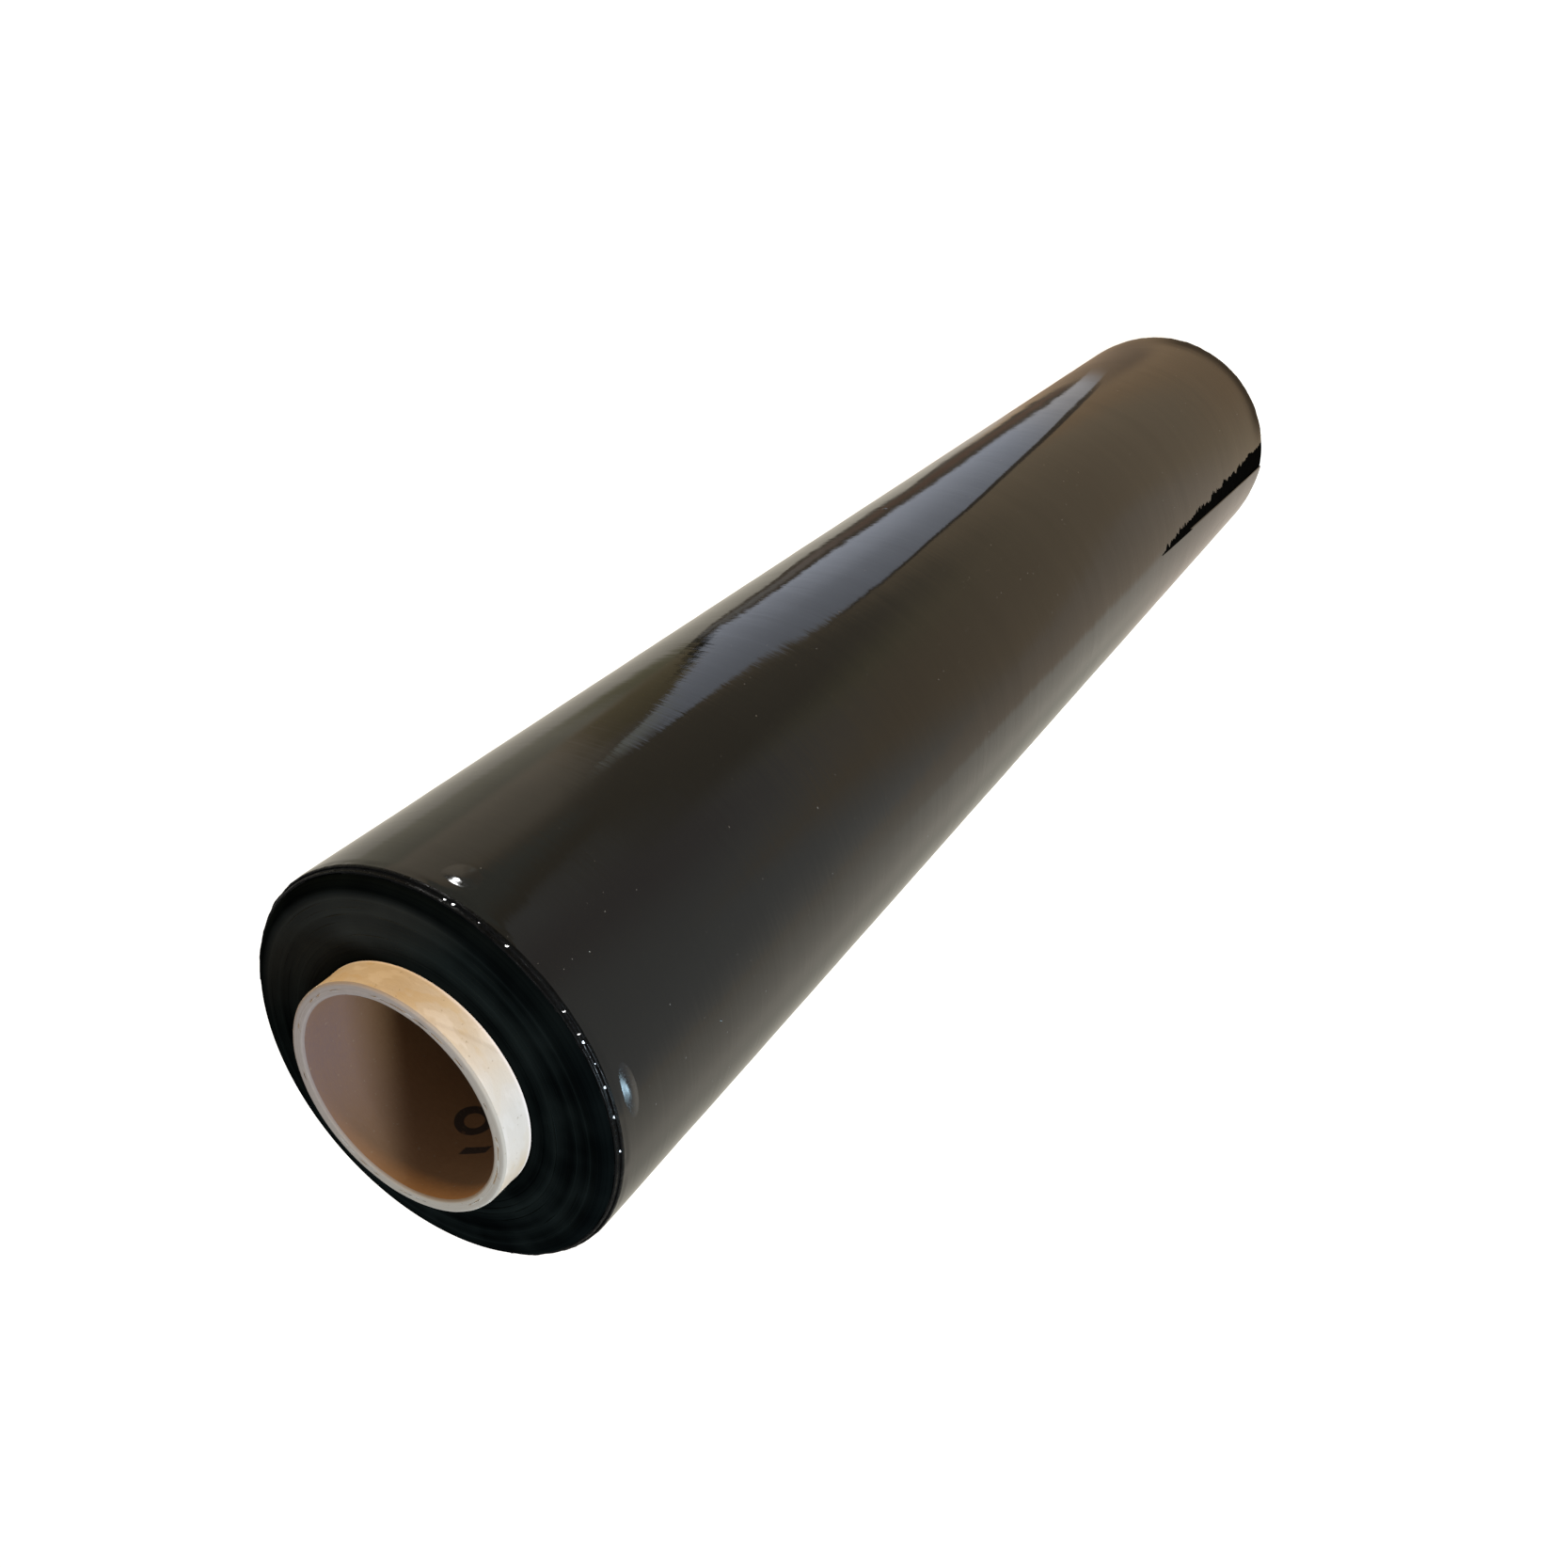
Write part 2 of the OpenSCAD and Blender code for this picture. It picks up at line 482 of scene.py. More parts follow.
TAIL_COLUMNS = 22
TAIL_ROWS = 90
TAIL_START = 0.6 * MM
TAIL_ROOT = 0.06 * MM
TAIL_CURL = 1.6
TAIL_RIPPLE = 0.05 * MM
SLACK_COLUMNS = 10
SLACK_ROWS = 300
SLACK_START = 0.3 * MM
SLACK_W = 11.3 * MM
SLACK_LEAST_W = 0.3 * MM
SLACK_UNDER_TAIL = 1 * MM
SLACK_RISE = 0.12 * MM
SLACK_T = 0.25 * MM

# Tears in the slack film's side, as (waves along the tail, size in mm)
TEARS = ((14, 1.2), (47, 1.8), (140, 2.6))


def on_roll(angle, r, z):
    return Vector((r * cos(angle), r * sin(angle), z))


def edge_angle(v):
    """Direction of the tail's free edge at v, from 0 at the lower rim to 1 where it lies down."""
    return TAIL_ANGLE - TAIL_SLANT * (1 - v) ** 0.9


def tail_point(u, v, under):
    """A point of the tail: u runs from its root to its free edge."""
    angle = edge_angle(v) - TAIL_REACH / ROLL_R * (1 - u)
    lift = (TAIL_LIFT + TAIL_T) * cos(pi / 2 * v) ** 2
    ripple = TAIL_RIPPLE * sin(v * 31) * sin(v * 13 + 1.7) * u * (1 - v)
    r = SKIN_R + (TAIL_ROOT + lift) * u ** TAIL_CURL - TAIL_ROOT + ripple - under
    return on_roll(angle, r, RIM_LOW + TAIL_START + TAIL_H * v)


def slack_point(u, v, under):
    """A point of the slack film: u runs from just under the tail's free edge to a torn side."""
    torn = sum(size * noise.noise((v * wave, 3.7 * i, 0.5)) for i, (wave, size) in enumerate(TEARS))
    width = SLACK_W * (1 - v) ** 0.62 + torn * MM * (0.25 + 1.2 * v * (1 - 0.6 * v))
    angle = edge_angle(v) + (max(SLACK_LEAST_W, width) * u - SLACK_UNDER_TAIL) / ROLL_R
    r = SKIN_R + SLACK_RISE * (1 - u ** 6) - under
    return on_roll(angle, r, RIM_LOW + SLACK_START + TAIL_H * v)


def make_skin(name, point, columns, rows, thickness, material):
    """A thin closed sheet over the roll, from a rule for its points."""
    bm = bmesh.new()
    skins = [[[bm.verts.new(point(i / columns, j / rows, under)) for i in range(columns + 1)]
              for j in range(rows + 1)] for under in (0.0, thickness)]
    outer, inner = skins
    for j in range(rows):
        for i in range(columns):
            for grid in skins:
                bm.faces.new((grid[j][i], grid[j][i + 1], grid[j + 1][i + 1], grid[j + 1][i]))
        for i in (0, columns):
            bm.faces.new((outer[j][i], outer[j + 1][i], inner[j + 1][i], inner[j][i]))
    for j in (0, rows):
        for i in range(columns):
            bm.faces.new((outer[j][i], outer[j][i + 1], inner[j][i + 1], inner[j][i]))
    return finished(name, bm, material)


def finished(name, bm, material):
    """Turns the faces outwards and makes a smooth piece of one material."""
    bmesh.ops.recalc_face_normals(bm, faces=bm.faces)
    mesh = bpy.data.meshes.new(name)
    bm.to_mesh(mesh)
    bm.free()
    mesh.materials.append(material)
    mesh.polygons.foreach_set("use_smooth", [True] * len(mesh.polygons))
    piece = bpy.data.objects.new(name, mesh)
    bpy.context.scene.collection.objects.link(piece)
    return piece


# Air trapped under the last turn

BUBBLES = [
    # direction in degrees, then in mm: drop below the upper rim, half width, half height above and
    # below the crest, and rise
    (-59.8, 5.15, 6.0, 2.7, 6.5, 0.38),
    (-125.6, 4.5, 8.8, 2.7, 3.2, 0.45),
    (-131.9, 36.9, 0.8, 0.8, 0.8, 0.12),
    (-33.5, 236.0, 1.6, 1.3, 1.3, 0.20),
]
BUBBLE_RINGS = 8
BUBBLE_SPOKES = 24
BUBBLE_SUNK = 0.12
BUBBLE_DEPTH = 0.4 * MM


def make_bubbles(material):
    """Low rounded domes, closed under the film's surface."""
    bm = bmesh.new()
    for turn, drop, half_w, above, below, rise in BUBBLES:
        rings = []
        for i in range(1, BUBBLE_RINGS + 1):
            share = i / BUBBLE_RINGS
            height = rise * (0.5 + 0.5 * cos(pi * share)) - BUBBLE_SUNK * share
            ring = []
            for k in range(BUBBLE_SPOKES):
                spoke = tau * k / BUBBLE_SPOKES
                half_h = above if k <= BUBBLE_SPOKES / 2 else below
                ring.append(bm.verts.new(on_roll(
                    radians(turn) + share * half_w * MM * cos(spoke) / ROLL_R,
                    SKIN_R + height * MM,
                    RIM_HIGH + (share * half_h * sin(spoke) - drop) * MM)))
            rings.append(ring)
        top = bm.verts.new(on_roll(radians(turn), SKIN_R + rise * MM, RIM_HIGH - drop * MM))
        foot = bm.verts.new(on_roll(radians(turn), SKIN_R - BUBBLE_DEPTH, RIM_HIGH - drop * MM))
        for k in range(BUBBLE_SPOKES):
            after = (k + 1) % BUBBLE_SPOKES
            bm.faces.new((top, rings[0][k], rings[0][after]))
            bm.faces.new((foot, rings[-1][after], rings[-1][k]))
            for near, far in zip(rings, rings[1:]):
                bm.faces.new((near[k], far[k], far[after], near[after]))
    return finished("air_bubbles", bm, material)


# Flat folds in the curled edge of the last turn, which catch the light

RIM_FOLDS = [
    # direction in degrees, half size in mm, and where the fold faces: round the roll and upwards
    (-61.6, 0.30, -59, 11), (-64.0, 0.32, -58.5, 11), (-71.6, 0.22, -58, 11),
    (-80.0, 0.36, -57, 11), (-99.5, 0.36, -55, 11), (-105.8, 0.34, -54, 11),
    (-108.1, 0.34, -116.5, 32), (-114.0, 0.16, -116, 32), (-120.4, 0.32, -116, 32),
    (-128.7, 0.32, -115, 32), (-139.0, 0.22, -114, 32),
    (35.0, 0.32, 35, 11), (78.0, 0.40, 78, 11), (121.0, 0.30, 121, 11), (160.0, 0.38, 160, 11),
]
FOLD_SIDES = 10
FOLD_R = SKIN_R - 0.55 * MM
FOLD_ROOT_R = SKIN_R - 0.75 * MM
FOLD_ROOT_Z = RIM_HIGH - 0.25 * MM


def make_rim_folds(material):
    """Small flat lips of film, each one face and a root inside the rim."""
    bm = bmesh.new()
    for turn, half, facing, lean in RIM_FOLDS:
        across = on_roll(radians(facing + 90), 1.0, 0.0)
        out = on_roll(radians(facing), cos(radians(lean)), sin(radians(lean)))
        middle = on_roll(radians(turn), FOLD_R, RIM_HIGH + (0.62 + 0.45 * half) * MM)
        root = bm.verts.new(on_roll(radians(turn), FOLD_ROOT_R, FOLD_ROOT_Z))
        edge = [bm.verts.new(middle + half * MM * (across * cos(tau * k / FOLD_SIDES)
                                                  + out.cross(across) * sin(tau * k / FOLD_SIDES)))
                for k in range(FOLD_SIDES)]
        bm.faces.new(edge)
        for k in range(FOLD_SIDES):
            bm.faces.new((edge[k], edge[(k + 1) % FOLD_SIDES], root))
    piece = finished("rim_folds", bm, material)
    piece.data.polygons.foreach_set("use_smooth", [False] * len(piece.data.polygons))
    return piece


# Cardboard core

CORE_COLUMNS = 160
CORE_EDGE = 0.7 * MM
CORNER_ROWS = 4
STUB_ROWS = 16
HIDDEN_ROWS = 24
BORE_ROWS = 190
TIP_ROWS = 8
HIDDEN_FROM = 6 * MM
PLY_STEP = 92 * MM
PLY_SEAM_W = 0.8 * MM
PLY_START = 0.19

CORE_SIZES = {"Seam depth": 0.10 * MM, "Unevenness": 0.24 * MM}


def core_section():
    """Closed section of the core's wall as (radius, height), with rounded cut edges."""
    low, high = CORE_LOW.z, CORE_HIGH.z

    def corner(r, z, start):
        turns = [start + pi / 2 * i / CORNER_ROWS for i in range(CORNER_ROWS + 1)]
        return [(r + CORE_EDGE * cos(t), z + CORE_EDGE * sin(t)) for t in turns]

    hidden_low, hidden_high = FACE_LOW + HIDDEN_FROM, FACE_HIGH - HIDDEN_FROM
    outside = steps(low + CORE_EDGE, hidden_low, STUB_ROWS)[1:]
    outside += steps(hidden_low, hidden_high, HIDDEN_ROWS)
    outside += steps(hidden_high, high - CORE_EDGE, STUB_ROWS)
    inside = steps(high - CORE_EDGE, low + CORE_EDGE, BORE_ROWS)[1:]
    tip = steps(CORE_R - CORE_EDGE, BORE_R + CORE_EDGE, TIP_ROWS)[1:]
    points = corner(CORE_R - CORE_EDGE, low + CORE_EDGE, -pi / 2)
    points += [(CORE_R, z) for z in outside]
    points += corner(CORE_R - CORE_EDGE, high - CORE_EDGE, 0.0)
    points += [(r, high) for r in tip]
    points += corner(BORE_R + CORE_EDGE, high - CORE_EDGE, pi / 2)
    points += [(BORE_R, z) for z in inside]
    points += corner(BORE_R + CORE_EDGE, low + CORE_EDGE, pi)
    points += [(r, low) for r in tip[::-1]]
    return points


def ply_seam(angle, z):
    """1 along the helical line where a ply's edges butt, 0 away from it."""
    turns = z / PLY_STEP - angle / tau + PLY_START
    return (turns.between_turns() * PLY_STEP).ramp(PLY_SEAM_W, 0.2 * PLY_SEAM_W)


def core_tree(board):
    tree, given, end = shape_tree("core_tube", CORE_SIZES)
    skin = turned(tree, given["Geometry"], CORE_COLUMNS)
    x, y, z, r, angle = place_fields(tree)
    outside = r.above(WALL_MIDDLE_R) * 2.0 - 1.0
    lumps = waves(tree, (x, y, z), 7, 11) - 0.5
    clear = abs(z - MIDDLE_Z).ramp(FACE_REACH + 0.3 * MM, FACE_REACH + 1.5 * MM)
    inwards = given["Seam depth"] * ply_seam(angle, z) + given["Unevenness"] * (lumps + 0.5) * clear
    skin = realized(tree, moved(tree, skin, -(inwards * outside), 0.0))
    feed(tree, end.inputs["Geometry"], coloured(tree, skin, board))
    return tree


def make_core(board):
    piece = line_object("core_tube_board", core_section())
    return run_tree(piece, core_tree(board), CORE_SIZES, [board])


# Materials. Colours are red, green and blue shares of the light that comes back.

def new_material(name):
    """A material with its tree, its shader, and the place on the piece."""
    material = bpy.data.materials.new(name)
    material.use_nodes = True
    tree = material.node_tree
    shader = tree.nodes["Principled BSDF"]
    place = tree.nodes.new("ShaderNodeTexCoord").outputs["Object"]
    parts = new_node(tree, "ShaderNodeSeparateXYZ", Vector=place)
    return material, tree, shader, tuple(Field(tree, s) for s in parts.outputs)


def mixed_colour(tree, share, low, high):
    """From the low colour at share 0 to the high one at share 1."""
    node = new_node(tree, "ShaderNodeMix", {"data_type": "RGBA"})
    feed(tree, node.inputs["Factor"], share)
    for slot, colour in ((node.inputs[6], low), (node.inputs[7], high)):
        if isinstance(colour, tuple):
            slot.default_value = (*colour, 1.0)
        else:
            feed(tree, slot, colour)
    return node.outputs[2]


def layered(tree, colour, *coats):
    """Lays coats of (share, colour) over a colour, one after the other."""
    for share, coat in coats:
        colour = mixed_colour(tree, share, colour, coat)
    return colour


def add_bump(tree, shader, height, depth):
    """Relief of the given depth in metres, where height runs from 0 to 1."""
    bump = new_node(tree, "ShaderNodeBump", Strength=1.0, Distance=depth, Height=height)
    feed(tree, shader.inputs["Normal"], bump.outputs["Normal"])


def finish_coat(tree, shader, colour, roughness, specular):
    """Sets what every coat has: its colour, its roughness and its plain specular level."""
    feed(tree, shader.inputs["Base Color"], colour)
    feed(tree, shader.inputs["Roughness"], roughness)
    shader.inputs["Specular IOR Level"].default_value = specular


def film_material(name):
    """Glossy stretched film: near black, with fine draw lines round the roll and a little dust."""
    material, tree, shader, place = new_material(name)
    fine = waves(tree, place, 34, 0.9, 3.0, 0.6)
    lines = waves(tree, place, 20, 2.1)
    crinkle = waves(tree, place, 5, 1.8)
    haze = waves(tree, place, 35, 70, 3.0)
    dust = waves(tree, place, 0.8, 0.8, 0.0).ramp(0.87, 0.90)
    tone = mixed_colour(tree, haze, (0.0013, 0.0016, 0.0015), (0.0033, 0.0041, 0.0038))
    colour = mixed_colour(tree, dust * 0.4, tone, (0.22, 0.21, 0.20))
    finish_coat(tree, shader, colour, 0.03 + 0.03 * haze + 0.02 * fine + 0.3 * dust, 0.5)
    add_bump(tree, shader, fine * 0.40 + lines * 0.46 + crinkle * 0.14, 0.055 * MM)
    return material


def rim_material(name):
    """Curled edges of the last turns, crumpled, and glossy where they are taut."""
    material, tree, shader, place = new_material(name)
    crumple = waves(tree, place, 1.1, 1.1)
    folds = waves(tree, place, 4, 0.6)
    colour = mixed_colour(tree, folds, (0.0008, 0.0009, 0.0009), (0.0034, 0.0035, 0.0033))
    taut = waves(tree, place, 2.0, 6, 1.0).ramp(0.56, 0.66)
    finish_coat(tree, shader, colour, 0.34 - 0.28 * taut + 0.06 * folds, 0.06)
    add_bump(tree, shader, crumple * 0.6 + folds * 0.4, 0.20 * MM)
    return material


def bubble_material(name):
    """Film stretched over trapped air, a little cloudy, and duller on the widest bubble."""
    material, tree, shader, place = new_material(name)
    x, y, _ = place
    cloud = waves(tree, place, 1.5, 2.5)
    widest = (y.turn_from(x) - radians(-123)).bell(0.0, 0.25)
    colour = mixed_colour(tree, cloud, (0.0030, 0.0034, 0.0036), (0.0080, 0.0090, 0.0100))
    finish_coat(tree, shader, colour, 0.08 + 0.05 * cloud + 0.17 * widest, 0.5)
    add_bump(tree, shader, cloud, 0.012 * MM)
    return material


def film_edge_material(name):
    """Cut edges of all the turns side by side, which take in the light."""
    material, tree, shader, place = new_material(name)
    x, y, _ = place
    r = (x * x + y * y).root()
    rings = noise_along(tree, r / (0.35 * MM), 3.0)
    bands = noise_along(tree, r / (3.1 * MM) + 4.3, 2.0)
    patch = waves(tree, place, 14, 14)
    share = (rings * 0.16 + bands * 0.34 + patch * 0.50).ramp(0.30, 0.76)
    # Painted sheen: the paler band round the face, strongest towards plus x, stands in for light
    # caught by the ridged edges of the turns.
    wear_and_sheen = r.ramp(28.0 * MM, 32.0 * MM) * r.ramp(ROLL_R - 3.4 * MM, ROLL_R - 6.5 * MM)
    painted_sheen_side = (x * 0.966 - y * 0.259).ramp(20 * MM, 38 * MM)
    colour = layered(tree, (0.0008, 0.0012, 0.0013),
                     (share * (0.30 + 0.70 * wear_and_sheen), (0.0098, 0.0132, 0.0124)),
                     (wear_and_sheen * painted_sheen_side * (0.5 + 0.3 * share), (0.029, 0.028, 0.0235)))
    finish_coat(tree, shader, colour, 0.55 + 0.3 * rings, 0.0)
    add_bump(tree, shader, rings, 0.04 * MM)
    return material


def slack_shade_material(name):
    """Slack film beside the tail, dull and black: painted shade beside the tail's free edge."""
    material, tree, shader, place = new_material(name)
    grain = waves(tree, place, 4, 1.5)
    colour = mixed_colour(tree, grain, (0.0008, 0.0008, 0.0007), (0.0036, 0.0030, 0.0025))
    finish_coat(tree, shader, colour, 0.6 + 0.3 * grain, 0.0)
    add_bump(tree, shader, grain, 0.05 * MM)
    return material


def board_material(name):
    """Grey-brown wound board: plies on the cut ends, fibres, a butt seam and an ink mark."""
    material, tree, shader, place = new_material(name)
    x, y, z = place
    r = (x * x + y * y).root()
    angle = y.turn_from(x)
    from_middle = abs(z - MIDDLE_Z)
    fibre = waves(tree, place, 1.6, 0.7, 4.0, 0.65)
    cloud = waves(tree, place, 13, 13, 3.0)
    flecks = waves(tree, place, 0.9, 0.9, 1.0)
    plies = noise_along(tree, r / (0.33 * MM), 2.0)
    blotch = waves(tree, place, 8, 3.5)
    grain = fibre * 0.6 + cloud * 0.4
    on_tip = from_middle.above(TIP_REACH - 0.55 * MM)

    # Painted light: the side of the outer wall that faces the window lamp is paler and greyer.
    painted_lit_side = (x * -0.6 - y * 0.8).ramp(22 * MM, 28 * MM)
    outer = layered(tree, (0.45, 0.348, 0.252),
                    (grain, (0.605, 0.505, 0.39)),
                    (blotch.ramp(0.52, 0.60) * 0.5, (0.50, 0.36, 0.20)),
                    (blotch.ramp(0.44, 0.38) * 0.4, (0.67, 0.575, 0.49)),
                    (painted_lit_side * 0.6, (0.575, 0.530, 0.487)))

    # Painted light: a greyer patch on the bore's wall just inside its mouth, on the side the window
    # lamp reaches.
    painted_lit_mouth = from_middle.ramp(TIP_REACH - 27 * MM, TIP_REACH - 7 * MM)
    painted_lit_mouth = painted_lit_mouth * (angle - radians(38)).bell(0.0, radians(62))
    inner = layered(tree, (0.165, 0.078, 0.028),
                    (grain, (0.275, 0.148, 0.064)),
                    (painted_lit_mouth * (0.5 + 0.6 * fibre), (0.122, 0.075, 0.067)))

    # Painted light and shade on the cut end: paler towards minus x, where the lamps stand, and
    # darker on its rounded inner edge.
    tip = layered(tree, (0.235, 0.185, 0.159),
                  (plies * 0.6 + fibre * 0.4, (0.39, 0.328, 0.285)),
                  (x.ramp(24 * MM, -24 * MM) * 0.6, (0.43, 0.395, 0.325)),
                  (r.ramp(BORE_R + 0.8 * MM, BORE_R + 0.1 * MM) * 0.7, (0.15, 0.11, 0.095)))

    # Painted highlight: a thin pale line on the outer wall, just above the film's face.
    painted_highlight_line = (from_middle - FACE_REACH).bell(0.2 * MM, 0.35 * MM) * r.above(CORE_R - MM)
    colour = layered(tree, inner,
                     (r.above(WALL_MIDDLE_R), outer),
                     (on_tip, tip),
                     (flecks.ramp(0.70, 0.78) * 0.45, (0.24, 0.17, 0.11)),
                     (ply_seam(angle, z) * 0.15, (0.26, 0.19, 0.13)),
                     (painted_highlight_line * (0.3 + 0.6 * cloud), (0.86, 0.74, 0.68)),
                     (ink_mark(angle, z, r, fibre) * 0.9, (0.02, 0.016, 0.014)))
    finish_coat(tree, shader, colour, 0.78 + 0.18 * fibre, 0.25)
    add_bump(tree, shader, fibre * 0.6 + cloud * 0.25 + plies * on_tip * 0.5, 0.09 * MM)
    return material


# Ink mark in the bore: a ring round its middle, and a sloping bar above and beside the ring
MARK_ANGLE = radians(127)
MARK_Z = 492.9 * MM
MARK_R = 3.4 * MM
BAR_BESIDE = 6.6 * MM
BAR_ABOVE = 7.4 * MM
BAR_SLOPE = 0.43


def ink_mark(angle, z, r, fibre):
    """A plain ring and a short bar, inked on the wall of the bore near the upper end."""
    round_it = (angle - MARK_ANGLE) * BORE_R
    up = z - MARK_Z
    ring = abs((round_it * round_it + up * up).root() - MARK_R).ramp(1.3 * MM, 0.9 * MM)
    along = round_it - BAR_BESIDE
    bar = abs(up - BAR_ABOVE + along * BAR_SLOPE).ramp(1.4 * MM, 1.0 * MM)
    bar = bar * abs(along).ramp(3.2 * MM, 2.6 * MM)
    wear_and_sheen = fibre.ramp(0.25, 0.42)
    inside = r.below(BORE_R + 0.4 * MM)
    return (ring + bar).least(1.0) * wear_and_sheen * inside


def floor_material(name, seen_glow, mirrored_glow):
    """Pale floor. Where it is seen or mirrored it glows up to white, and it keeps its shadows."""
    material, tree, shader, _ = new_material(name)
    finish_coat(tree, shader, (0.62, 0.58, 0.51, 1.0), 0.9, 0.0)
    shader.inputs["Emission Color"].default_value = (1.0, 1.0, 1.0, 1.0)
    feed(tree, shader.inputs["Emission Strength"], seen_by(tree, seen_glow, mirrored_glow))
    return material


def seen_by(tree, camera, mirrored):
    """One value for the camera's rays, one for mirrored and transmitted rays, 0 for the rest."""
    path = tree.nodes.new("ShaderNodeLightPath")
    seen, glossy, through = (Field(tree, path.outputs[f"Is {kind} Ray"])
                             for kind in ("Camera", "Glossy", "Transmission"))
    return seen * camera + (glossy + through).least(1.0) * mirrored


# Floor, and sheets on it that only show as reflections in the film

FLOOR_HALF = 14.0

# Outlines of the sheets, as (x, y) in millimetres
ROOM_MAT = [(-6000, -6000), (6000, -6000), (6000, 6000), (-6000, 6000)]
PALE_SHEET = [(61, -11), (79, -10), (96, -6), (117, 4), (143, 12), (174, 20), (197, 33),
              (215, 37), (242, 54), (274, 58), (300, 68), (318, 88), (332, 104), (357, 52),
              (375, -2), (386, -26), (403, -56), (417, -86), (431, -116), (448, -135),
              (462, -172), (460, -218), (440, -224), (422, -200), (382, -201), (349, -184),
              (311, -174), (263, -184), (237, -182), (223, -177), (186, -148), (171, -122),
              (152, -105), (131, -77), (113, -60), (93, -41), (65, -27)]
DARK_BORDER = [(70, -12), (76, 4), (85, 26), (105, 40), (124, 66), (155, 70), (167, 95), (194, 110),
               (212, 129), (243, 122), (264, 131), (285, 141), (306, 143), (328, 104), (300, 40),
               (240, 0), (228, -100), (232, -170), (219, -184), (182, -155), (166, -128),
               (147, -111), (126, -83), (108, -66), (88, -47), (72, -36)]
DARK_SCRAPS = [[(318, 132), (340, 118), (352, 72), (348, 50), (338, 66), (328, 96)],
               [(344, 84), (360, 72), (372, 34), (364, 24), (354, 48)],
               [(366, 36), (380, 26), (384, 4), (374, 2), (366, 18)]]


def make_floor():
    mesh = bpy.data.meshes.new("floor")
    h = FLOOR_HALF
    mesh.from_pydata([(-h, -h, 0), (h, -h, 0), (h, h, 0), (-h, h, 0)], [], [(0, 1, 2, 3)])
    floor = bpy.data.objects.new("floor", mesh)
    bpy.context.scene.collection.objects.link(floor)
    mesh.materials.append(floor_material("pale_floor", seen_glow=0.84, mirrored_glow=0.12))


def make_sheet(name, outline, height, material):
    """A thin sheet on the floor that shows in glossy reflections and nowhere else."""
    mesh = bpy.data.meshes.new(name)
    mesh.from_pydata([(x * MM, y * MM, height) for x, y in outline], [], [range(len(outline))])
    mesh.materials.append(material)
    sheet = bpy.data.objects.new(name, mesh)
    bpy.context.scene.collection.objects.link(sheet)
    sheet.visible_camera = False
    sheet.visible_diffuse = False
    sheet.visible_transmission = False
    sheet.visible_shadow = False


def sheet_material(name, shade):
    """A sheet's own brightness, from a rule that gives its colour, strength and cover."""
    material = bpy.data.materials.new(name)
    material.use_nodes = True
    tree = material.node_tree
    tree.nodes.remove(tree.nodes["Principled BSDF"])
    place = tree.nodes.new("ShaderNodeTexCoord").outputs["Object"]
    parts = new_node(tree, "ShaderNodeSeparateXYZ", Vector=place)
    x, y, _ = (Field(tree, s) for s in parts.outputs)
    colour, strength, cover = shade(tree, x, y)
    glow = new_node(tree, "ShaderNodeEmission", Color=colour, Strength=strength)
    clear = tree.nodes.new("ShaderNodeBsdfTransparent")
    mix = new_node(tree, "ShaderNodeMixShader", Fac=cover)
    tree.links.new(clear.outputs[0], mix.inputs[1])
    tree.links.new(glow.outputs[0], mix.inputs[2])
    tree.links.new(mix.outputs[0], tree.nodes["Material Output"].inputs["Surface"])
    return material


# The rules below take x and y in metres, from the roll's axis. The camera is at minus y, and the
# pale sheet lies at plus x.

